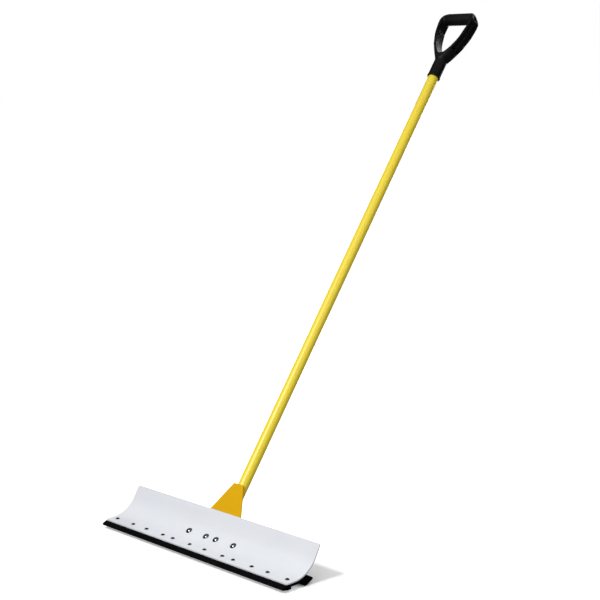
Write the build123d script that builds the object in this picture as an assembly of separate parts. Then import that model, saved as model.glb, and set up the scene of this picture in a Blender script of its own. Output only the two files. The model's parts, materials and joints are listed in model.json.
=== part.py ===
"""Push shovel for snow: a curved plastic blade on a rubber wear shoe, bolted to a steel
bracket that is welded to a long tube handle with a moulded D-grip.

Millimetres.  +X is the blade's right end, +Y is the handle's side (the back), +Z is up.
Every piece is designed from a place on the floor under the middle of the wear shoe's nose.
The export moves all of them, so that the origin is the middle of the D-grip's hand bar.
Every piece of one kind shares a node as a group of separate solids.
"""
import os
from math import cos, radians, sin

from build123d import *

# ---------------------------------------------------------------- blade
BLADE_WIDTH = 610.0
BLADE_THICKNESS = 3.0
BLADE_BACK_RADIUS = 75.0
BLADE_SWEEP = 60.0
BLADE_LIP_DEPTH = 25.0
BLADE_TOP_RUN = 30.5
BLADE_CORNER_RADIUS = 5.0
LIP_FRONT_Y = -8.0
LIP_UNDERSIDE_Z = 16.7

# ---------------------------------------------------------------- wear shoe
SHOE_WEB = 6.5
NOSE_OVERHANG = 11.5
NOSE_TOP_DROP = 4.2
NOSE_TOP_BEVEL = 2.0
NOSE_FACE_Z = 8.0
NOSE_SOLE_HALF = 4.5
NOSE_SOLE_Z = 5.0
NOSE_BACK_Y = 5.5
NOSE_BACK_BEVEL = 1.0
HEEL_FRONT_Y = 35.0
HEEL_SOLE_Y = 50.5
HEEL_SOLE_HALF = 2.0
HEEL_BACK_Y = 71.5
HEEL_BACK_Z = 9.0
HEEL_BACK_HEIGHT = 4.0
HEEL_CONTACT_ANGLE = 27.0
NOTCH_HALF_WIDTH = 93.0
NOTCH_DEPTH = 60.0
NOTCH_ANGLE = 20.5

# ---------------------------------------------------------------- shoe fasteners (M5)
SHOE_SCREW_X = (25.0, 84.0, 119.0, 178.0, 227.0, 286.5)
SHOE_SCREW_Y = 12.5
M5_RADIUS = 2.5
M5_HEAD_RADIUS = 5.0
M5_HEAD_HEIGHT = 2.8
M5_SOCKET = 1.75
M5_SOCKET_DEPTH = 1.5
M5_WASHER_RADIUS = 5.0
M5_WASHER = 1.0
M5_NUT_ACROSS = 8.0
M5_NUT_HEIGHT = 3.6
M5_COLLAR_HEIGHT = 1.4
SHOE_SCREW_TIP_Z = 4.0
NUT_COLLAR_SHARE = 0.47
NUT_COLLAR_WALL = 0.6
NUT_INSERT_INSET = 0.2

# ---------------------------------------------------------------- handle line and bracket
HANDLE_ANGLE = 53.8
TUBE_RADIUS = 13.35
TUBE_WALL = 1.6
BRACKET_THICKNESS = 3.0
BRACKET_TOP = 112.8
BRACKET_TOP_HALF = 15.7
BRACKET_FLARE = 0.48
BRACKET_BOTTOM_ANGLE = 22.5
BRACKET_CORNER_RADIUS = 4.0
BEAD_LEG = 5.0
BEAD_PLATE_REACH = 9.0
BEAD_TUBE_REACH = 8.0
BEAD_ROOT = 1.5
BEAD_BOTTOM = 2.0
BEAD_TOP = 108.2

# ---------------------------------------------------------------- bracket fasteners (M6)
BRACKET_BOLT_X = (16.5, 74.6)
BRACKET_BOLT_ANGLE = 31.6
M6_RADIUS = 3.0
M6_HEAD_RADIUS = 8.0
M6_HEAD_HEIGHT = 3.7
M6_HEAD_SEAT = 0.5
M6_NECK = 6.0
M6_NECK_INSET = 0.5
M6_WASHER_RADIUS = 6.2
M6_WASHER = 1.6
M6_NUT_ACROSS = 10.0
M6_NUT_HEIGHT = 4.4
M6_COLLAR_HEIGHT = 1.6
M6_THREAD_SHOWING = 1.6

# ---------------------------------------------------------------- handle tube
TUBE_BOTTOM = -12.0
PLUG_FLANGE = 2.5
PLUG_DEPTH = 16.0
PLUG_WALL = 1.8

# ---------------------------------------------------------------- D-grip
GRIP_START = 1279.3
COLLAR_RADIUS = 16.6
COLLAR_RIM_RADIUS = 17.6
COLLAR_RIM_HEIGHT = 5.0
COLLAR_LENGTH = 52.0
THROAT_FLARE = 0.5
SOCKET_DEPTH = 58.0
NECK_TOP = 76.0
NECK_TOP_RADIUS = 12.0
GRIP_DEPTH = 36.0
GRIP_BAR_RADIUS = 15.75
GRIP_BAR_HEIGHT = 187.0
GRIP_BAR_CORE_RADIUS = 6.5
GRIP_BAR_CORE_START = 26.0
ARM_FOOT_HALF = 14.5
ARM_CREST_HALF = 24.0
ARM_OUTER_POINTS = ((25.4, 67), (36, 97), (47.1, 130), (52, 160), (51, 182), (43.5, 197))
GRIP_OPENING_POINTS = ((0, 69.4), (12.5, 75.4), (27.9, 98), (37.8, 122), (43.5, 148), (44.6, 172))
ARM_INNER_WALL = 3.2
ARM_SIDE_WALL = 3.0
RIB = 1.8
RIB_FIRST = 90.0
RIB_PITCH = 13.0
RIB_COUNT = 7
POCKET_BOTTOM = 84.0
POCKET_TOP = 170.0
GRIP_SCREW_HEIGHT = 30.0
GRIP_SCREW_RADIUS = 2.0
GRIP_SCREW_HEAD_RADIUS = 4.0
GRIP_SCREW_HEAD_HEIGHT = 2.2
GRIP_SCREW_LENGTH = 11.0

GRIP_SCREW_HEAD_GAP = 0.1
GRIP_SCREW_NECK = 0.5

HOLE_CLEARANCE = 0.25
THREAD_CLEARANCE = 0.04
OVERCUT = 200.0

# ---------------------------------------------------------------- worked-out places
ARC_Y = LIP_FRONT_Y + BLADE_LIP_DEPTH
ARC_Z = LIP_UNDERSIDE_Z + BLADE_BACK_RADIUS
BLADE_FRONT_RADIUS = BLADE_BACK_RADIUS - BLADE_THICKNESS
BRACKET_BACK_RADIUS = BLADE_BACK_RADIUS + BRACKET_THICKNESS
SHOE_WEB_Z = LIP_UNDERSIDE_Z - SHOE_WEB


def on_arc(radius, angle):
    """Point (y, z) at a radius from the blade's centre of curvature; 0 degrees is straight down."""
    return (ARC_Y + radius * sin(radians(angle)), ARC_Z - radius * cos(radians(angle)))


def past_arc(radius, angle, run):
    """Point (y, z) on the tangent that leaves the arc at an angle, a run further up."""
    y, z = on_arc(radius, angle)
    return (y + run * cos(radians(angle)), z + run * sin(radians(angle)))


def arc_frame(x, radius, angle):
    """Place on the blade's curve whose Z points out of the blade's back."""
    y, z = on_arc(radius, angle)
    outward = (0, sin(radians(angle)), -cos(radians(angle)))
    return Plane(origin=(x, y, z), x_dir=(1, 0, 0), z_dir=outward).location


def handle_frame():
    """Place whose Z runs up the handle's axis and whose Y points to the handle's underside."""
    axis_radius = BRACKET_BACK_RADIUS + TUBE_RADIUS
    y, z = on_arc(axis_radius, HANDLE_ANGLE)
    upward = (0, cos(radians(HANDLE_ANGLE)), sin(radians(HANDLE_ANGLE)))
    return Plane(origin=(0, y, z), x_dir=(1, 0, 0), z_dir=upward).location


HANDLE = handle_frame()
GRIP = HANDLE * Pos(0, 0, GRIP_START)
HAND_BAR = (GRIP * Pos(0, 0, GRIP_BAR_HEIGHT)).position


def extruded_section(edges, half_width):
    """Solid with a closed YZ section and both ends at plus and minus half_width."""
    face = Plane.YZ * make_face(edges)
    return extrude(face, half_width, both=True)


def both_sides(positions):
    """The same distances to the left and right of the middle, from left to right."""
    return [-x for x in reversed(positions)] + list(positions)


def arc_edge(radius, first, last):
    """The part of the blade's curve between two angles."""
    middle = (first + last) / 2
    return ThreePointArc(on_arc(radius, first), on_arc(radius, middle), on_arc(radius, last))


# ---------------------------------------------------------------- fastener shapes
def dome(radius, height):
    """Spherical cap that stands on Z = 0 and rises towards -Z."""
    ball = (radius**2 + height**2) / (2 * height)
    slab = Pos(0, 0, -height / 2) * Box(2 * radius, 2 * radius, height)
    return Pos(0, 0, ball - height) * Sphere(ball) & slab


def rod(radius, start, end):
    return Pos(0, 0, (start + end) / 2) * Cylinder(radius, end - start)


def washer(radius, hole, start, thickness):
    return rod(radius, start, start + thickness) - rod(hole, start, start + thickness)


def lock_nut(across, hole, start, height, collar):
    """Steel nut whose round collar holds a nylon ring; returns the nut and the ring."""
    end = start + height
    collar_radius = across * NUT_COLLAR_SHARE
    ring_radius = collar_radius - NUT_COLLAR_WALL
    hexagon = extrude(Pos(0, 0, start) * RegularPolygon(across / 2, 6, major_radius=False), height)
    body = hexagon + rod(collar_radius, end, end + collar)
    body -= rod(hole, start, end + collar)
    body -= rod(ring_radius, end, end + collar)
    ring = washer(ring_radius, hole, end, collar - NUT_INSERT_INSET)
    return body, ring


# ---------------------------------------------------------------- blade and shoe
def build_blade():
    back_top = past_arc(BLADE_BACK_RADIUS, BLADE_SWEEP, BLADE_TOP_RUN)
    front_top = past_arc(BLADE_FRONT_RADIUS, BLADE_SWEEP, BLADE_TOP_RUN)
    lip_top_z = LIP_UNDERSIDE_Z + BLADE_THICKNESS
    edges = [
        Line((LIP_FRONT_Y, LIP_UNDERSIDE_Z), on_arc(BLADE_BACK_RADIUS, 0)),
        arc_edge(BLADE_BACK_RADIUS, 0, BLADE_SWEEP),
        Polyline(on_arc(BLADE_BACK_RADIUS, BLADE_SWEEP), back_top, front_top,
                 on_arc(BLADE_FRONT_RADIUS, BLADE_SWEEP)),
        arc_edge(BLADE_FRONT_RADIUS, 0, BLADE_SWEEP),
        Polyline(on_arc(BLADE_FRONT_RADIUS, 0), (LIP_FRONT_Y, lip_top_z),
                 (LIP_FRONT_Y, LIP_UNDERSIDE_Z)),
    ]
    blade = extruded_section(edges, BLADE_WIDTH / 2)
    ends = blade.faces().sort_by(Axis.X)
    corners = [edge for face in (ends[0], ends[-1]) for edge in face.edges()
               if abs(edge.length - BLADE_THICKNESS) < 0.01]
    blade = fillet(corners, BLADE_CORNER_RADIUS)
    for x in both_sides(SHOE_SCREW_X):
        blade -= Pos(x, SHOE_SCREW_Y, 0) * rod(M5_RADIUS + HOLE_CLEARANCE, 0, 2 * LIP_UNDERSIDE_Z)
    side = M6_NECK + 2 * HOLE_CLEARANCE
    for x in both_sides(BRACKET_BOLT_X):
        blade -= arc_frame(x, BLADE_FRONT_RADIUS, BRACKET_BOLT_ANGLE) * Box(side, side, 4 * BLADE_THICKNESS)
    return blade


def build_shoe():
    nose_front = LIP_FRONT_Y - NOSE_OVERHANG
    nose_top = LIP_UNDERSIDE_Z - NOSE_TOP_DROP
    contact = on_arc(BLADE_BACK_RADIUS, HEEL_CONTACT_ANGLE)
    outline = Polyline(
        contact,
        (HEEL_BACK_Y, HEEL_BACK_Z + HEEL_BACK_HEIGHT),
        (HEEL_BACK_Y, HEEL_BACK_Z),
        (HEEL_SOLE_Y + HEEL_SOLE_HALF, 0),
        (HEEL_SOLE_Y - HEEL_SOLE_HALF, 0),
        (HEEL_FRONT_Y, SHOE_WEB_Z),
        (NOSE_BACK_Y, SHOE_WEB_Z),
        (NOSE_BACK_Y, NOSE_SOLE_Z + NOSE_BACK_BEVEL),
        (NOSE_SOLE_HALF, NOSE_SOLE_Z),
        (-NOSE_SOLE_HALF, NOSE_SOLE_Z),
        (nose_front, NOSE_FACE_Z),
        (nose_front, nose_top - NOSE_TOP_BEVEL),
        (nose_front + NOSE_TOP_BEVEL, nose_top),
        (LIP_FRONT_Y, LIP_UNDERSIDE_Z),
        (ARC_Y, LIP_UNDERSIDE_Z),
    )
    edges = [outline, arc_edge(BLADE_BACK_RADIUS, 0, HEEL_CONTACT_ANGLE)]
    shoe = extruded_section(edges, BLADE_WIDTH / 2)
    for x in both_sides(SHOE_SCREW_X):
        shoe -= Pos(x, SHOE_SCREW_Y, 0) * rod(M5_RADIUS + HOLE_CLEARANCE, 0, 2 * LIP_UNDERSIDE_Z)
    notch_y, notch_z = on_arc(BLADE_BACK_RADIUS, NOTCH_ANGLE)
    notch = Pos(0, NOTCH_DEPTH / 2, 0) * Box(2 * NOTCH_HALF_WIDTH, NOTCH_DEPTH, 2 * NOTCH_DEPTH)
    return shoe - Pos(0, notch_y, notch_z) * Rot(NOTCH_ANGLE, 0, 0) * notch


def shoe_fasteners():
    lip_top_z = LIP_UNDERSIDE_Z + BLADE_THICKNESS
    shank = lip_top_z - SHOE_SCREW_TIP_Z
    web_depth = lip_top_z - SHOE_WEB_Z
    socket = extrude(RegularPolygon(M5_SOCKET, 6, major_radius=False), M5_SOCKET_DEPTH)
    screw = dome(M5_HEAD_RADIUS, M5_HEAD_HEIGHT) + rod(M5_RADIUS, 0, shank)
    screw -= Pos(0, 0, -M5_HEAD_HEIGHT) * socket
    hole = M5_RADIUS + THREAD_CLEARANCE
    ring = washer(M5_WASHER_RADIUS, M5_RADIUS + HOLE_CLEARANCE, web_depth, M5_WASHER)
    nut, insert = lock_nut(M5_NUT_ACROSS, hole, web_depth + M5_WASHER, M5_NUT_HEIGHT, M5_COLLAR_HEIGHT)
    places = [Pos(x, SHOE_SCREW_Y, lip_top_z) * Rot(180, 0, 0) for x in both_sides(SHOE_SCREW_X)]
    return {
        "shoe_screws": [place * screw for place in places],
        "shoe_washers": [place * ring for place in places],
        "shoe_lock_nuts": [place * nut for place in places],
        "shoe_nut_inserts": [place * insert for place in places],
    }


# ---------------------------------------------------------------- bracket
def build_bracket():
    """Plate that is flat along the handle and formed to the blade's back at its foot."""
    edges = [
        arc_edge(BLADE_BACK_RADIUS, BRACKET_BOTTOM_ANGLE, HANDLE_ANGLE),
        Polyline(on_arc(BLADE_BACK_RADIUS, HANDLE_ANGLE),
                 past_arc(BLADE_BACK_RADIUS, HANDLE_ANGLE, BRACKET_TOP),
                 past_arc(BRACKET_BACK_RADIUS, HANDLE_ANGLE, BRACKET_TOP),
                 on_arc(BRACKET_BACK_RADIUS, HANDLE_ANGLE)),
        arc_edge(BRACKET_BACK_RADIUS, BRACKET_BOTTOM_ANGLE, HANDLE_ANGLE),
        Line(on_arc(BRACKET_BACK_RADIUS, BRACKET_BOTTOM_ANGLE),
             on_arc(BLADE_BACK_RADIUS, BRACKET_BOTTOM_ANGLE)),
    ]
    plate = extruded_section(edges, OVERCUT)
    bottom = -BLADE_BACK_RADIUS
    bottom_half = BRACKET_TOP_HALF + BRACKET_FLARE * (BRACKET_TOP - bottom)
    trapezoid = make_face(Polyline(
        (-BRACKET_TOP_HALF, BRACKET_TOP), (BRACKET_TOP_HALF, BRACKET_TOP),
        (bottom_half, bottom), (-bottom_half, bottom), close=True))
    trapezoid = fillet(trapezoid.vertices().sort_by(Axis.Y)[-2:], BRACKET_CORNER_RADIUS)
    bracket = plate & (HANDLE * extrude(Plane.XZ * trapezoid, OVERCUT / 2, both=True))
    for x in both_sides(BRACKET_BOLT_X):
        place = arc_frame(x, BLADE_BACK_RADIUS, BRACKET_BOLT_ANGLE)
        bracket -= place * rod(M6_RADIUS + HOLE_CLEARANCE, -2 * BRACKET_THICKNESS, 4 * BRACKET_THICKNESS)
    return bracket


def bracket_fasteners():
    """Carriage bolts through blade and bracket, with a washer and a lock nut behind."""
    grip = BLADE_THICKNESS + BRACKET_THICKNESS
    nut_start = grip + M6_WASHER
    tip = nut_start + M6_NUT_HEIGHT + M6_COLLAR_HEIGHT + M6_THREAD_SHOWING
    neck_end = BLADE_THICKNESS - M6_NECK_INSET
    neck_length = neck_end + M6_HEAD_SEAT
    bolt = Pos(0, 0, -M6_HEAD_SEAT) * dome(M6_HEAD_RADIUS, M6_HEAD_HEIGHT)
    bolt += Pos(0, 0, neck_end - neck_length / 2) * Box(M6_NECK, M6_NECK, neck_length)
    bolt += rod(M6_RADIUS, 0, tip)
    ring = washer(M6_WASHER_RADIUS, M6_RADIUS + HOLE_CLEARANCE, grip, M6_WASHER)
    hole = M6_RADIUS + THREAD_CLEARANCE
    nut, insert = lock_nut(M6_NUT_ACROSS, hole, nut_start, M6_NUT_HEIGHT, M6_COLLAR_HEIGHT)
    places = [arc_frame(x, BLADE_FRONT_RADIUS, BRACKET_BOLT_ANGLE) for x in both_sides(BRACKET_BOLT_X)]
    return {
        "bracket_bolts": [place * bolt for place in places],
        "bracket_washers": [place * ring for place in places],
        "bracket_lock_nuts": [place * nut for place in places],
        "bracket_nut_inserts": [place * insert for place in places],
    }


# ---------------------------------------------------------------- handle
def grip_screw_place():
    """Place on the tube's axis whose Z points out through the collar's underside."""
    return GRIP * Pos(0, 0, GRIP_SCREW_HEIGHT) * Rot(-90, 0, 0)


def build_tube():
    top = GRIP_START + SOCKET_DEPTH
    tube = rod(TUBE_RADIUS, TUBE_BOTTOM, top) - rod(TUBE_RADIUS - TUBE_WALL, TUBE_BOTTOM, top)
    drilled = grip_screw_place() * rod(GRIP_SCREW_RADIUS + HOLE_CLEARANCE, 0, 2 * TUBE_RADIUS)
    return HANDLE * tube - drilled


def build_weld_beads():
    """Fillet welds in the two corners between the tube and the bracket's back."""
    plate_y = -TUBE_RADIUS
    beads = []
    for side in (-1, 1):
        corner = make_face(Polyline(
            (side * BEAD_ROOT, plate_y), (side * BEAD_PLATE_REACH, plate_y),
            (side * BEAD_TUBE_REACH, plate_y + BEAD_LEG), (side * BEAD_ROOT, plate_y + BEAD_LEG),
            close=True))
        bead = extrude(Pos(0, 0, BEAD_BOTTOM) * corner, BEAD_TOP - BEAD_BOTTOM)
        bead -= rod(TUBE_RADIUS, BEAD_BOTTOM, BEAD_TOP)
        beads.append(HANDLE * bead.solids().sort_by(SortBy.VOLUME)[-1])
    return beads


def build_plug():
    stem_radius = TUBE_RADIUS - TUBE_WALL
    flange = rod(TUBE_RADIUS, TUBE_BOTTOM - PLUG_FLANGE, TUBE_BOTTOM)
    flange = chamfer(flange.edges().sort_by(Axis.Z)[0], PLUG_FLANGE * 0.5)
    stem = rod(stem_radius, TUBE_BOTTOM, TUBE_BOTTOM + PLUG_DEPTH)
    stem -= rod(stem_radius - PLUG_WALL, TUBE_BOTTOM, TUBE_BOTTOM + PLUG_DEPTH)
    return HANDLE * (flange + stem)


# ---------------------------------------------------------------- D-grip
def mirrored_face(half_edges):
    """Face that is closed by an outline's right half and its mirror image."""
    edges = [copy for edge in half_edges for copy in (edge, mirror(edge, Plane.YZ))]
    return make_face(edges)


def grip_outline():
    top = GRIP_BAR_HEIGHT + GRIP_BAR_RADIUS
    foot = (ARM_FOOT_HALF, COLLAR_LENGTH)
    crest = (ARM_CREST_HALF, top)
    return mirrored_face([
        Line((0, COLLAR_LENGTH), foot),
        Spline(foot, *ARM_OUTER_POINTS, crest, tangents=((0, 1), (-1, 0))),
        Line(crest, (0, top)),
    ])


def grip_opening(top, wall=0.0):
    """Finger opening, run up to a height; a wall makes it larger all round."""
    points = []
    for x, z in GRIP_OPENING_POINTS:
        aside = min(1.0, x / GRIP_OPENING_POINTS[2][0])
        points.append((x + wall * aside, z - wall * (1 - aside)))
    corner = points[-1]
    return mirrored_face([
        Spline(*points, tangents=((1, 0), (0, 1))),
        Polyline(corner, (corner[0], top), (0, top)),
    ])


def extrude_grip(face, depth):
    return extrude(Plane.XZ * face, depth / 2, both=True)


def build_grip_arms():
    """Both arms: channels that are open outwards and stiffened by ribs."""
    top = GRIP_BAR_HEIGHT + GRIP_DEPTH
    arms = extrude_grip(grip_outline(), GRIP_DEPTH) - extrude_grip(grip_opening(top), GRIP_DEPTH)
    crown = Pos(0, 0, GRIP_BAR_HEIGHT) * Rot(0, 90, 0) * Cylinder(GRIP_DEPTH / 2, OVERCUT)
    below = Pos(0, 0, GRIP_BAR_HEIGHT / 2) * Box(OVERCUT, GRIP_DEPTH, GRIP_BAR_HEIGHT)
    arms &= crown + below
    throat_height = top - COLLAR_LENGTH
    throat_top = COLLAR_RADIUS + THROAT_FLARE * throat_height
    arms &= Pos(0, 0, COLLAR_LENGTH + throat_height / 2) * Cone(COLLAR_RADIUS, throat_top, throat_height)
    pocket_height = POCKET_TOP - POCKET_BOTTOM
    pocket_depth = GRIP_DEPTH - 2 * ARM_SIDE_WALL
    pocket = Pos(0, 0, POCKET_BOTTOM + pocket_height / 2) * Box(OVERCUT, pocket_depth, pocket_height)
    pocket -= extrude_grip(grip_opening(top, ARM_INNER_WALL), GRIP_DEPTH)
    pocket -= Pos(0, 0, GRIP_BAR_HEIGHT / 2) * Box(OVERCUT, RIB, GRIP_BAR_HEIGHT)
    for index in range(RIB_COUNT):
        height = RIB_FIRST + index * RIB_PITCH
        pocket -= Pos(0, 0, height) * Box(OVERCUT, GRIP_DEPTH, RIB)
    return arms - pocket


def build_grip():
    bar = Pos(0, 0, GRIP_BAR_HEIGHT) * Rot(0, 90, 0) * Cylinder(GRIP_BAR_RADIUS, OVERCUT)
    grip = build_grip_arms() + (bar & extrude_grip(grip_outline(), GRIP_DEPTH))
    collar = rod(COLLAR_RADIUS, 0, COLLAR_LENGTH) + rod(COLLAR_RIM_RADIUS, 0, COLLAR_RIM_HEIGHT)
    neck_height = NECK_TOP - COLLAR_LENGTH
    neck = Pos(0, 0, COLLAR_LENGTH + neck_height / 2) * Cone(COLLAR_RADIUS, NECK_TOP_RADIUS, neck_height)
    opening = extrude_grip(grip_opening(GRIP_BAR_HEIGHT), OVERCUT)
    grip += collar + (neck - opening)
    grip -= rod(TUBE_RADIUS + THREAD_CLEARANCE, 0, SOCKET_DEPTH)
    core = rod(GRIP_BAR_CORE_RADIUS, GRIP_BAR_CORE_START, OVERCUT)
    for turn in (90, -90):
        grip -= Pos(0, 0, GRIP_BAR_HEIGHT) * Rot(0, turn, 0) * core
    grip = GRIP * grip
    return grip - grip_screw_place() * rod(GRIP_SCREW_RADIUS + THREAD_CLEARANCE, 0, 2 * COLLAR_RADIUS)


def build_grip_screw():
    under_head = COLLAR_RADIUS + GRIP_SCREW_HEAD_GAP
    shank_end = under_head + GRIP_SCREW_NECK
    shank = rod(GRIP_SCREW_RADIUS, shank_end - GRIP_SCREW_LENGTH, shank_end)
    head = Pos(0, 0, under_head) * Rot(180, 0, 0) * dome(GRIP_SCREW_HEAD_RADIUS, GRIP_SCREW_HEAD_HEIGHT)
    return grip_screw_place() * (shank + head)


# ---------------------------------------------------------------- export
def export_node(name, shapes):
    """Write one node's file, moved so that the hand bar's middle is the origin."""
    shapes = shapes if isinstance(shapes, list) else [shapes]
    flat = [Pos(-HAND_BAR) * solid for shape in shapes for solid in shape.solids()]
    shape = flat[0] if len(flat) == 1 else Compound(children=flat)
    export_step(shape, f"parts/{name}.step")
    box = shape.bounding_box()
    print(f"{name:20s} solids {len(flat):3d}  volume {sum(s.volume for s in flat) / 1000:9.2f} cm3  "
          f"x {box.min.X:7.1f} {box.max.X:7.1f}  y {box.min.Y:7.1f} {box.max.Y:7.1f}  "
          f"z {box.min.Z:7.1f} {box.max.Z:7.1f}")


def main():
    os.makedirs("parts", exist_ok=True)
    nodes = {
        "blade": build_blade(),
        "wear_shoe": build_shoe(),
        "handle_bracket": build_bracket(),
        "handle_tube": build_tube(),
        "weld_beads": build_weld_beads(),
        "tube_end_plug": build_plug(),
        "d_grip": build_grip(),
        "grip_screw": build_grip_screw(),
    }
    nodes.update(shoe_fasteners())
    nodes.update(bracket_fasteners())
    for name, shapes in nodes.items():
        export_node(name, shapes)


main()
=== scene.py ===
"""Looks of the push shovel: materials, soft-edged and rippled detail pieces, floor, light and camera.

Metres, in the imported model's frame: +X is the blade's right end, +Y the handle's side, +Z up.
The origin is the middle of the hand bar, so the handle's axis passes through it.
"""

import json
from math import cos, floor, pi, radians, sin

import bmesh
import bpy
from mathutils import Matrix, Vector


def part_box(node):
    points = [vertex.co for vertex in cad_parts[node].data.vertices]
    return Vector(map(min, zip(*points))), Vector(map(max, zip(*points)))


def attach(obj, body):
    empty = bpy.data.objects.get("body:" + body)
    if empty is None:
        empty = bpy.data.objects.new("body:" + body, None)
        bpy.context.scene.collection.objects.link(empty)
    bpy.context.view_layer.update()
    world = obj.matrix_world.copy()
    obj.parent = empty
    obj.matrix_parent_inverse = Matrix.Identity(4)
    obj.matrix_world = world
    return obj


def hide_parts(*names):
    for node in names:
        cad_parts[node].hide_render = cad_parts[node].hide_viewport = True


# Camera: the photograph's viewing angle, aimed at a place given from the heel's sole
VIEW_AZIMUTH = 43.877
VIEW_ELEVATION = 9.326
VIEW_DISTANCE = 3.250
VIEW_LENS = 79.87
VIEW_TARGET = Vector((-0.0537, 0.3557, 0.5345))
SENSOR_WIDTH = 36.0
CLIP_END = 100.0

# Soft lights: name, place and target from the heel's sole, size, power
LIGHTS = (
    ("key", (-0.1, -1.85, 2.35), (0, 0.05, 0.05), (0.5, 0.5), 52.0),
    ("side", (2.32, 0.06, 1.74), (0, 0.35, 0.6), (0.5, 1.4), 9.0),
    ("front", (1.3, -2.2, 0.9), (0, 0.2, 0.35), (0.9, 1.4), 9.0),
    ("back", (-0.8, 2.7, 1.0), (0, 0.3, 0.4), (1.6, 1.6), 32.0),
)

# Floor: how pale it is to the camera, to other rays and in reflections
FLOOR_RADIUS = 60.0
FLOOR_CORNERS = 96
FLOOR_SEEN = 0.88
FLOOR_DIM = 0.33
FLOOR_DIM_CLOUD = 0.37
FLOOR_IN_GLOSS = 0.10

# The floor glows in the camera's eye in front of the blade, behind it and far away.
# An edge is the distance from the heel's sole where the glow starts and where it is full.
GLOW_IN_FRONT = 0.38
FRONT_EDGE = (0.0, -0.02)
GLOW_FAR = 0.9
BEHIND_EDGE = (0.10, 0.24)
FAR_EDGE = (0.42, 1.3)

# World: brightness overhead, at the horizon, in reflections and where the camera sees it
DOME_TOP = 1.0
DOME_LOW = 0.05
DOME_IN_GLOSS = 0.25
WHITE_BACKDROP = 1.0

# Directions of the handle and of the bracket bolts
HANDLE_ANGLE = radians(53.8)
BOLT_ANGLE = radians(31.6)
UP_HANDLE = Vector((0, cos(HANDLE_ANGLE), sin(HANDLE_ANGLE)))
BEHIND_HANDLE = Vector((0, sin(HANDLE_ANGLE), -cos(HANDLE_ANGLE)))
OUT_OF_BLADE = Vector((0, sin(BOLT_ANGLE), -cos(BOLT_ANGLE)))
UP = Vector((0, 0, 1))
ACROSS = Vector((1, 0, 0))
BACK = Vector((0, 1, 0))

# Fasteners: where a thread starts below its head's seat, and its pitch
M5_HEAD_HEIGHT = 0.0028
SHOE_STACK = 0.011
M5_PITCH = 0.0008
BOLT_STACK = 0.0115
M6_PITCH = 0.0010
THREAD_RUN_IN = 0.0004
# Bolt heads: their zinc colours are darkened to this share as painted shade, standing in for dark reflections
BOLT_PAINTED_SHADE_FACTOR = 0.34

# D-grip: mesh step, rounds of smoothing, and where the heads of its arms are smoothed more
GRIP_VOXEL = 0.0009
SMOOTH_FACTOR = 0.5
GRIP_SMOOTHING = 12
HEAD_SMOOTHING = 80
HEAD_START_X = 0.034
HEAD_START_ALONG = -0.006
HEAD_BLEND = 0.010

# Weld beads: section, ripples, and how an end grows from a share of the section
BEAD_FOOT = 0.0097
BEAD_HEIGHT = 0.0036
BEAD_ROOT = 0.003
BEAD_BULGE = 0.0008
BEAD_STEP = 0.0005
BEAD_SIDES = 8
BEAD_END_SHARE = 0.3
BEAD_END_GROWTH = 0.1
RIPPLE_PITCH = 0.0026
RIPPLE_HEIGHT = 0.0005
RIPPLE_BOW = 0.6
RIPPLE_WANDER = 0.0004
RIPPLE_WANDER_RATE = 310


# ---------------------------------------------------------------- colours (linear)
def rgb(red, green, blue):
    return (red, green, blue, 1.0)


def grey(value):
    return rgb(value, value, value)


def dimmed(colour, share):
    return rgb(*(part * share for part in colour[:3]))


WHITE = grey(1.0)
BLADE_SHADE = rgb(0.655, 0.675, 0.715)
BLADE_PALE = rgb(0.70, 0.715, 0.75)
BLADE_STREAK = rgb(0.75, 0.765, 0.79)
BLADE_SCUFF = rgb(0.50, 0.51, 0.52)
RUBBER_BLACK = rgb(0.0014, 0.0014, 0.0017)
RUBBER_DUST = rgb(0.0035, 0.0035, 0.004)
RUBBER_WORN = grey(0.03)
# The plate and the tube wear one yellow coat: the plate's two colours are darkened as painted shade, and the
# tube's two colours are lightened as painted light.
PLATE_PAINTED_SHADE_DEEP = rgb(0.62, 0.34, 0.0004)
PLATE_PAINTED_SHADE_BRIGHT = rgb(0.67, 0.375, 0.0006)
TUBE_PAINTED_LIGHT_DEEP = rgb(0.83, 0.64, 0.018)
TUBE_PAINTED_LIGHT_BRIGHT = rgb(0.89, 0.69, 0.026)
WELD_DEEP = rgb(0.66, 0.38, 0.0006)
WELD_BRIGHT = rgb(0.74, 0.43, 0.001)
PAINT_FLECK = rgb(0.93, 0.66, 0.02)
GRIP_BLACK = rgb(0.0025, 0.0025, 0.003)
GRIP_FLOW = rgb(0.007, 0.007, 0.0075)
PLUG_BLACK = grey(0.007)
PLUG_FLOW = grey(0.012)
ZINC_COOL = rgb(0.70, 0.72, 0.74)
ZINC_WARM = rgb(0.80, 0.80, 0.78)
ZINC_DULL = rgb(0.62, 0.62, 0.56)
OXIDE_BLACK = rgb(0.018, 0.018, 0.020)
OXIDE_BROWN = rgb(0.050, 0.044, 0.038)
NYLON_DEEP = rgb(0.05, 0.17, 0.42)
NYLON_PALE = rgb(0.09, 0.25, 0.52)

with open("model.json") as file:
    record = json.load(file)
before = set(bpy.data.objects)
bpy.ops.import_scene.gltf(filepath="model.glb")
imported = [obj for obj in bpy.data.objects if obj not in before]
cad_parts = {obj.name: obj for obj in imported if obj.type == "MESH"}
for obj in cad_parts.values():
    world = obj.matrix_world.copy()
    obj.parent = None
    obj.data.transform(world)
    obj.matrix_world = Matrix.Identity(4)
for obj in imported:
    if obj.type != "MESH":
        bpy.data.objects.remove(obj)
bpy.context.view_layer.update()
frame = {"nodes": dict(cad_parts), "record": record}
sole = Vector(next(m["pos_m"] for m in frame["record"]["mounts"] if m["name"] == "floor_rest"))
scene = bpy.context.scene


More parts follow.
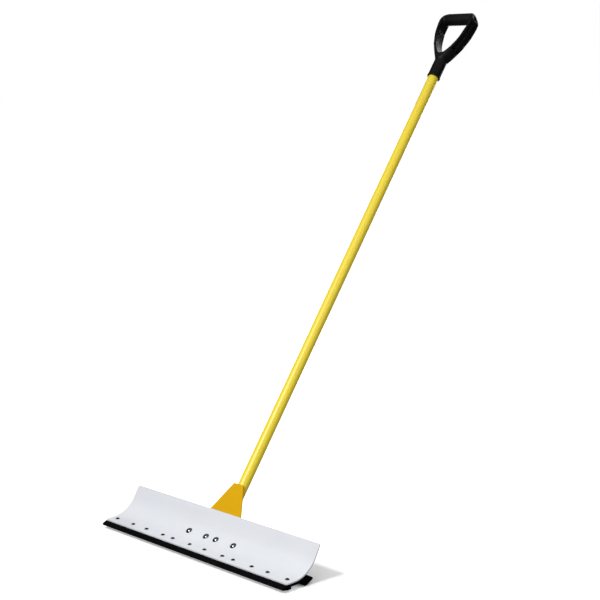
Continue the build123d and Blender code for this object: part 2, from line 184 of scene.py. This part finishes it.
# ---------------------------------------------------------------- shader helpers
class Nodes:
    """Short ways to add nodes to one node tree."""

    def __init__(self, tree):
        self.tree = tree

    def put(self, socket, value):
        if isinstance(value, bpy.types.NodeSocket):
            self.tree.links.new(value, socket)
        else:
            socket.default_value = value

    def add(self, kind, inputs=None, **settings):
        node = self.tree.nodes.new(kind)
        for key, value in settings.items():
            setattr(node, key, value)
        for key, value in (inputs or {}).items():
            self.put(node.inputs[key], value)
        return node

    def math(self, operation, first, second=0.0):
        return self.add("ShaderNodeMath", {0: first, 1: second}, operation=operation).outputs[0]


class Shader(Nodes):
    """One material. Its patterns are laid out in the row frame, with scales per metre."""

    def __init__(self, name):
        self.material = bpy.data.materials.new(name)
        self.material.use_nodes = True
        super().__init__(self.material.node_tree)
        self.surface = self.tree.nodes["Principled BSDF"]
        self.place = self.add("ShaderNodeTexCoord").outputs["Object"]

    def set(self, **values):
        """Sets the surface's own sockets; an underscore in a name stands for a space."""
        for key, value in values.items():
            self.put(self.surface.inputs[key.replace("_", " ")], value)

    def stretched(self, x=1.0, y=1.0, z=1.0):
        """The place with its axes scaled; a pattern is longer along an axis with a small scale."""
        node = self.add("ShaderNodeMapping", {"Vector": self.place, "Scale": (x, y, z)})
        return node.outputs["Vector"]

    def noise(self, scale, detail=4.0, roughness=0.5, place=None):
        inputs = {"Vector": place or self.place, "Scale": scale, "Detail": detail, "Roughness": roughness}
        return self.add("ShaderNodeTexNoise", inputs).outputs["Fac"]

    def cells(self, scale):
        inputs = {"Vector": self.place, "Scale": scale}
        return self.add("ShaderNodeTexVoronoi", inputs, feature="F1").outputs["Distance"]

    def remap(self, value, low, high, to_low=0.0, to_high=1.0):
        inputs = {"Value": value, "From Min": low, "From Max": high, "To Min": to_low, "To Max": to_high}
        return self.add("ShaderNodeMapRange", inputs).outputs["Result"]

    def mix(self, factor, first, second):
        """A colour between two; sockets 6 and 7 of the node are its colours, output 2 its colour result."""
        inputs = {"Factor": factor, 6: first, 7: second}
        return self.add("ShaderNodeMix", inputs, data_type="RGBA").outputs[2]

    def along(self, axis, origin=Vector((0, 0, 0))):
        """Distance along an axis, in metres."""
        shifted = self.add("ShaderNodeVectorMath", {0: self.place, 1: tuple(origin)}, operation="SUBTRACT")
        inputs = {0: shifted.outputs["Vector"], 1: tuple(axis)}
        return self.add("ShaderNodeVectorMath", inputs, operation="DOT_PRODUCT").outputs["Value"]

    def distance(self, origin):
        """Distance from a point, in metres."""
        inputs = {0: self.place, 1: tuple(origin)}
        return self.add("ShaderNodeVectorMath", inputs, operation="DISTANCE").outputs["Value"]

    def bump(self, height, distance, strength=1.0, normal=None):
        inputs = {"Height": height, "Distance": distance, "Strength": strength}
        if normal is not None:
            inputs["Normal"] = normal
        return self.add("ShaderNodeBump", inputs).outputs["Normal"]


# ---------------------------------------------------------------- materials
def blade_plastic():
    """Pale sheet plastic: faint mottling, streaks along the sheet, light scuffs by the lip."""
    s = Shader("blade_plastic")
    cloud = s.noise(scale=7.0, detail=3.0)
    streak = s.noise(scale=90.0, detail=5.0, roughness=0.6, place=s.stretched(x=0.05))
    grain = s.noise(scale=1400.0, detail=2.0)
    scuff = s.noise(scale=260.0, detail=6.0, roughness=0.7, place=s.stretched(y=0.06, z=0.06))
    low = s.remap(s.along(UP, sole), 0.030, 0.017)
    worn = s.math("MULTIPLY", s.remap(scuff, 0.58, 0.70), low)
    base = s.mix(cloud, BLADE_SHADE, BLADE_PALE)
    base = s.mix(s.remap(streak, 0.3, 0.8, 0.0, 0.25), base, BLADE_STREAK)
    base = s.mix(s.math("MULTIPLY", worn, 0.35), base, BLADE_SCUFF)
    rough = s.math("ADD", s.remap(cloud, 0.3, 0.7, 0.36, 0.46), s.math("MULTIPLY", worn, 0.18))
    relief = s.bump(grain, distance=0.00004, strength=0.35)
    relief = s.bump(streak, distance=0.00015, strength=0.25, normal=relief)
    s.set(Base_Color=base, Roughness=rough, Normal=relief)
    s.set(Subsurface_Weight=0.08, Subsurface_Scale=0.004, IOR=1.50)
    return s.material


def shoe_rubber():
    """Black extruded rubber: dull, fine-grained, with die lines along the blade."""
    s = Shader("shoe_rubber")
    grain = s.noise(scale=2300.0, detail=3.0, roughness=0.6)
    lines = s.noise(scale=420.0, detail=3.0, roughness=0.6, place=s.stretched(x=0.02))
    dust = s.noise(scale=45.0, detail=6.0, roughness=0.65)
    worn = s.remap(s.along(UP, sole), 0.004, 0.0)
    base = s.mix(s.remap(dust, 0.45, 0.75), RUBBER_BLACK, RUBBER_DUST)
    base = s.mix(s.math("MULTIPLY", worn, s.remap(grain, 0.4, 0.7)), base, RUBBER_WORN)
    relief = s.bump(lines, distance=0.00025, strength=0.6)
    relief = s.bump(grain, distance=0.00012, strength=0.7, normal=relief)
    s.set(Base_Color=base, Roughness=s.remap(dust, 0.3, 0.7, 0.50, 0.66), Normal=relief)
    s.set(Specular_IOR_Level=0.045)
    return s.material


def yellow_paint(name, deep, bright, gloss, weld=False):
    """Powder coat: satin yellow with an orange-peel surface."""
    s = Shader(name)
    cloud = s.noise(scale=14.0, detail=3.0)
    peel = s.noise(scale=420.0, detail=2.0, roughness=0.4)
    fleck = s.cells(scale=1900.0)
    base = s.mix(cloud, deep, bright)
    base = s.mix(s.remap(fleck, 0.0, 0.25, 0.15, 0.0), base, PAINT_FLECK)
    relief = s.bump(peel, distance=0.00030, strength=0.3)
    if weld:
        spatter = s.noise(scale=900.0, detail=4.0, roughness=0.6)
        relief = s.bump(spatter, distance=0.0003, strength=0.6, normal=relief)
    s.set(Base_Color=base, Roughness=s.remap(peel, 0.3, 0.7, 0.36, 0.46), Normal=relief)
    s.set(Specular_IOR_Level=gloss)
    return s.material


def moulded_plastic(name, dark, light, rough, grain_scale):
    """Black moulded plastic with a spark-eroded grain and faint flow marks."""
    s = Shader(name)
    grain = s.cells(grain_scale)
    flow = s.noise(scale=38.0, detail=4.0, roughness=0.55, place=s.stretched(z=0.45))
    base = s.mix(s.remap(flow, 0.35, 0.7), dark, light)
    relief = s.bump(grain, distance=0.00012, strength=0.55)
    relief = s.bump(flow, distance=0.00030, strength=0.2, normal=relief)
    s.set(Base_Color=base, Roughness=s.remap(flow, 0.3, 0.7, rough, rough + 0.10), Normal=relief)
    s.set(Specular_IOR_Level=0.20)
    return s.material


def threads(s, axis, origin, start, pitch):
    """Bump of a screw thread along an axis, from a distance on."""
    distance = s.along(axis, origin)
    wave = s.math("SINE", s.math("MULTIPLY", distance, 2 * pi / pitch))
    beyond = s.remap(distance, start, start + THREAD_RUN_IN)
    return s.bump(s.math("MULTIPLY", wave, beyond), distance=0.00022, strength=0.9)


def zinc_steel(name="zinc_steel", thread=None, painted_shade_factor=1.0):
    """Zinc-plated steel: faintly blue, with fine drawn scratches and dull patches."""
    s = Shader(name)
    patch = s.noise(scale=160.0, detail=4.0, roughness=0.6)
    hair = s.noise(scale=5200.0, detail=2.0, roughness=0.5, place=s.stretched(y=0.12))
    # Below 1, painted_shade_factor darkens the zinc colours as painted shade, standing in for dark
    # reflections on the bolt heads
    base = s.mix(s.remap(patch, 0.35, 0.7), dimmed(ZINC_COOL, painted_shade_factor), dimmed(ZINC_WARM, painted_shade_factor))
    base = s.mix(s.remap(patch, 0.55, 0.75, 0.0, 0.25), base, dimmed(ZINC_DULL, painted_shade_factor))
    normal = threads(s, *thread) if thread else None
    normal = s.bump(hair, distance=0.00002, strength=0.5, normal=normal)
    s.set(Base_Color=base, Metallic=1.0, Roughness=s.remap(patch, 0.3, 0.7, 0.16, 0.28), Normal=normal)
    return s.material


def dark_steel(thread):
    """Black-oxide steel: nearly black, oily sheen, slightly brown where it is thin."""
    s = Shader("dark_steel")
    patch = s.noise(scale=420.0, detail=4.0, roughness=0.6)
    grain = s.noise(scale=3600.0, detail=2.0)
    base = s.mix(s.remap(patch, 0.35, 0.7), OXIDE_BLACK, OXIDE_BROWN)
    normal = s.bump(grain, distance=0.00003, strength=0.5, normal=threads(s, *thread))
    s.set(Base_Color=base, Metallic=0.85, Roughness=s.remap(patch, 0.3, 0.7, 0.28, 0.42), Normal=normal)
    return s.material


def nylon():
    """Locking rings of the nuts: translucent blue nylon."""
    s = Shader("nylon")
    cloud = s.noise(scale=900.0, detail=3.0)
    s.set(Base_Color=s.mix(cloud, NYLON_DEEP, NYLON_PALE), Roughness=s.remap(cloud, 0.3, 0.7, 0.32, 0.45))
    s.set(Subsurface_Weight=0.3, Subsurface_Scale=0.001)
    s.set(Normal=s.bump(cloud, distance=0.00005, strength=0.5))
    return s.material


def dress(node, material):
    mesh = frame["nodes"][node].data
    mesh.materials.clear()
    mesh.materials.append(material)


lip_top = Vector((0, 0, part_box("shoe_screws")[1].z - M5_HEAD_HEIGHT))
bolt_seat = Vector((0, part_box("bracket_bolts")[0].y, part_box("bracket_bolts")[1].z))
bolt_thread = (OUT_OF_BLADE, bolt_seat, BOLT_STACK, M6_PITCH)
zinc = zinc_steel()
locking_nylon = nylon()
dress("blade", blade_plastic())
dress("wear_shoe", shoe_rubber())
# One yellow coat in two copies: the plate's is painted darker as painted shade, the tube's painted lighter as
# painted light.
dress("handle_bracket", yellow_paint("plate_paint_painted_shade", PLATE_PAINTED_SHADE_DEEP, PLATE_PAINTED_SHADE_BRIGHT, gloss=0.15))
dress("handle_tube", yellow_paint("tube_paint_painted_light", TUBE_PAINTED_LIGHT_DEEP, TUBE_PAINTED_LIGHT_BRIGHT, gloss=0.80))
dress("tube_end_plug", moulded_plastic("plug_plastic", PLUG_BLACK, PLUG_FLOW, rough=0.38, grain_scale=2600.0))
dress("shoe_screws", dark_steel(thread=(-UP, lip_top, SHOE_STACK, M5_PITCH)))
# The bolt heads get a darker copy of the zinc: painted shade standing in for dark reflections.
dress("bracket_bolts", zinc_steel("bolt_zinc_painted_shade", bolt_thread, BOLT_PAINTED_SHADE_FACTOR))
for node in ("grip_screw", "shoe_washers", "shoe_lock_nuts", "bracket_washers", "bracket_lock_nuts"):
    dress(node, zinc)
for node in ("shoe_nut_inserts", "bracket_nut_inserts"):
    dress(node, locking_nylon)


# ---------------------------------------------------------------- detail pieces
def add_piece(name, mesh, node, material):
    """A new piece that stands for a CAD node."""
    mesh.materials.clear()
    mesh.materials.append(material)
    mesh.shade_smooth()
    piece = bpy.data.objects.new(name, mesh)
    scene.collection.objects.link(piece)
    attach(piece, "root")
    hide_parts(node)


def even_mesh(node, voxel):
    """A copy of a CAD node's mesh with faces of one size."""
    rough = bpy.data.objects.new("rough_" + node, frame["nodes"][node].data.copy())
    scene.collection.objects.link(rough)
    remesh = rough.modifiers.new("even_mesh", "REMESH")
    remesh.mode = "VOXEL"
    remesh.voxel_size = voxel
    even = bpy.data.meshes.new_from_object(rough.evaluated_get(bpy.context.evaluated_depsgraph_get()))
    bpy.data.objects.remove(rough)
    return even


def soft_grip_mesh():
    """The D-grip's CAD mesh with soft edges, and with well rounded heads where the hand bar ends."""
    mesh = even_mesh("d_grip", GRIP_VOXEL)
    bm = bmesh.new()
    bm.from_mesh(mesh)
    shares = {}
    for vert in bm.verts:
        reach = min(abs(vert.co.x) - HEAD_START_X, vert.co.dot(UP_HANDLE) - HEAD_START_ALONG)
        shares[vert] = reach / HEAD_BLEND
    for step in range(GRIP_SMOOTHING + HEAD_SMOOTHING):
        share = (step - GRIP_SMOOTHING) / HEAD_SMOOTHING
        moved = [vert for vert in bm.verts if step < GRIP_SMOOTHING or shares[vert] > share]
        bmesh.ops.smooth_vert(bm, verts=moved, factor=SMOOTH_FACTOR,
                              use_axis_x=True, use_axis_y=True, use_axis_z=True)
    bm.to_mesh(mesh)
    bm.free()
    return mesh


def make_grip_body():
    """The D-grip as one soft-edged moulding."""
    material = moulded_plastic("grip_plastic", GRIP_BLACK, GRIP_FLOW, rough=0.44, grain_scale=1500.0)
    add_piece("grip_body", soft_grip_mesh(), "d_grip", material)


def bead_section(along, tube_radius):
    """Closed outline of a weld bead across the handle, from the plate round to the tube."""
    top_y = BEAD_HEIGHT - tube_radius
    tube_x = (tube_radius**2 - top_y**2) ** 0.5
    wander = RIPPLE_WANDER * sin(along * RIPPLE_WANDER_RATE)
    outline = [(BEAD_ROOT, -tube_radius)]
    for index in range(BEAD_SIDES + 1):
        share = index / BEAD_SIDES
        crown = sin(pi * share)
        phase = (along + RIPPLE_PITCH * RIPPLE_BOW * crown + wander) / RIPPLE_PITCH
        ripple = RIPPLE_HEIGHT * (phase - floor(phase)) ** 0.5
        x = BEAD_FOOT + (tube_x - BEAD_FOOT) * share + crown * (BEAD_BULGE + ripple)
        outline.append((x, -tube_radius + BEAD_HEIGHT * share))
    return outline


def closed_strip(name, loops):
    """A mesh through a row of closed outlines, with a face over the first and over the last."""
    bm = bmesh.new()
    rows = [[bm.verts.new(point) for point in loop] for loop in loops]
    for first, second in zip(rows, rows[1:]):
        for corner in range(len(first)):
            other = (corner + 1) % len(first)
            bm.faces.new((first[corner], first[other], second[other], second[corner]))
    bm.faces.new(rows[0])
    bm.faces.new(rows[-1])
    bmesh.ops.recalc_face_normals(bm, faces=bm.faces)
    mesh = bpy.data.meshes.new(name)
    bm.to_mesh(mesh)
    bm.free()
    return mesh


def make_weld_bead(name, side, material):
    """A rippled fillet weld beside the tube, on the back of the bracket."""
    low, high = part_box("weld_beads")
    tube_low, tube_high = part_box("handle_tube")
    tube_radius = (tube_high.x - tube_low.x) / 2
    start = (low.z - tube_radius * cos(HANDLE_ANGLE)) / sin(HANDLE_ANGLE)
    end = (high.z - tube_radius * cos(HANDLE_ANGLE)) / sin(HANDLE_ANGLE)
    loops = []
    for step in range(int((end - start) / BEAD_STEP) + 1):
        along = start + step * BEAD_STEP
        steps_left = (end - along) / BEAD_STEP
        size = min(1.0, min(step, steps_left) * BEAD_END_GROWTH + BEAD_END_SHARE)
        loops.append([
            ACROSS * side * (BEAD_ROOT + (x - BEAD_ROOT) * size) + BEHIND_HANDLE * y + UP_HANDLE * along
            for x, y in bead_section(along, tube_radius)])
    add_piece(name, closed_strip(name, loops), "weld_beads", material)


weld_paint = yellow_paint("weld_paint", WELD_DEEP, WELD_BRIGHT, gloss=0.45, weld=True)
make_grip_body()
make_weld_bead("weld_bead_left", -1, weld_paint)
make_weld_bead("weld_bead_right", 1, weld_paint)


# ---------------------------------------------------------------- floor, light and camera
def make_floor():
    """Plain pale floor; the glow leaves only the soft shadow beside the blade to be seen."""
    bpy.ops.mesh.primitive_circle_add(vertices=FLOOR_CORNERS, radius=FLOOR_RADIUS, fill_type="NGON")
    ground = bpy.context.object
    ground.name = "floor"
    ground.location.z = sole.z
    s = Shader("studio_floor")
    ray = s.add("ShaderNodeLightPath").outputs
    seen = ray["Is Camera Ray"]
    dim = s.mix(s.noise(scale=1.5, detail=3.0), grey(FLOOR_DIM), grey(FLOOR_DIM_CLOUD))
    dim = s.mix(ray["Is Glossy Ray"], dim, grey(FLOOR_IN_GLOSS))
    s.set(Base_Color=s.mix(seen, dim, grey(FLOOR_SEEN)), Roughness=0.9, Specular_IOR_Level=0.0)
    middle = Vector((0, sole.y, 0))
    back = s.along(BACK, middle)
    far = s.remap(s.distance(middle), *FAR_EDGE, 0.0, GLOW_FAR)
    behind = s.remap(back, *BEHIND_EDGE, 0.0, GLOW_FAR)
    in_front = s.remap(back, *FRONT_EDGE, 0.0, GLOW_IN_FRONT)
    glow = s.math("MAXIMUM", in_front, s.math("MAXIMUM", behind, far))
    s.set(Emission_Color=WHITE, Emission_Strength=s.math("MULTIPLY", seen, glow))
    ground.data.materials.append(s.material)


def make_world():
    """White where the camera sees it; for the object, a dome that is bright overhead and dim low down."""
    world = bpy.data.worlds.new("studio")
    scene.world = world
    world.use_nodes = True
    background = world.node_tree.nodes["Background"]
    w = Nodes(world.node_tree)
    direction = w.add("ShaderNodeTexCoord").outputs["Generated"]
    height = w.math("MAXIMUM", w.add("ShaderNodeSeparateXYZ", {"Vector": direction}).outputs["Z"], 0.0)
    dome = w.math("ADD", w.math("MULTIPLY", w.math("POWER", height, 2.0), DOME_TOP), DOME_LOW)
    ray = w.add("ShaderNodeLightPath").outputs
    seen = ray["Is Camera Ray"]
    gloss = w.math("SUBTRACT", 1.0, w.math("MULTIPLY", ray["Is Glossy Ray"], 1.0 - DOME_IN_GLOSS))
    lit = w.math("MULTIPLY", w.math("MULTIPLY", w.math("SUBTRACT", 1.0, seen), gloss), dome)
    w.put(background.inputs["Strength"], w.math("ADD", lit, w.math("MULTIPLY", seen, WHITE_BACKDROP)))
    w.put(background.inputs["Color"], WHITE)


def soft_light(name, place, target, size, power):
    light = bpy.data.lights.new(name, "AREA")
    light.shape = "RECTANGLE"
    light.size, light.size_y = size
    light.energy = power
    lamp = bpy.data.objects.new(name, light)
    lamp.location = sole + Vector(place)
    lamp.rotation_euler = (Vector(place) - Vector(target)).to_track_quat("Z", "Y").to_euler()
    scene.collection.objects.link(lamp)


def make_camera():
    azimuth, elevation = radians(VIEW_AZIMUTH), radians(VIEW_ELEVATION)
    back = Vector((sin(azimuth) * cos(elevation), -cos(azimuth) * cos(elevation), sin(elevation)))
    camera = bpy.data.objects.new("camera", bpy.data.cameras.new("camera"))
    camera.data.sensor_width = SENSOR_WIDTH
    camera.data.lens = VIEW_LENS
    camera.data.clip_end = CLIP_END
    camera.location = sole + VIEW_TARGET + back * VIEW_DISTANCE
    camera.rotation_euler = back.to_track_quat("Z", "Y").to_euler()
    scene.collection.objects.link(camera)
    scene.camera = camera


make_floor()
make_world()
for light in LIGHTS:
    soft_light(*light)
make_camera()
scene.view_settings.view_transform = "Standard"
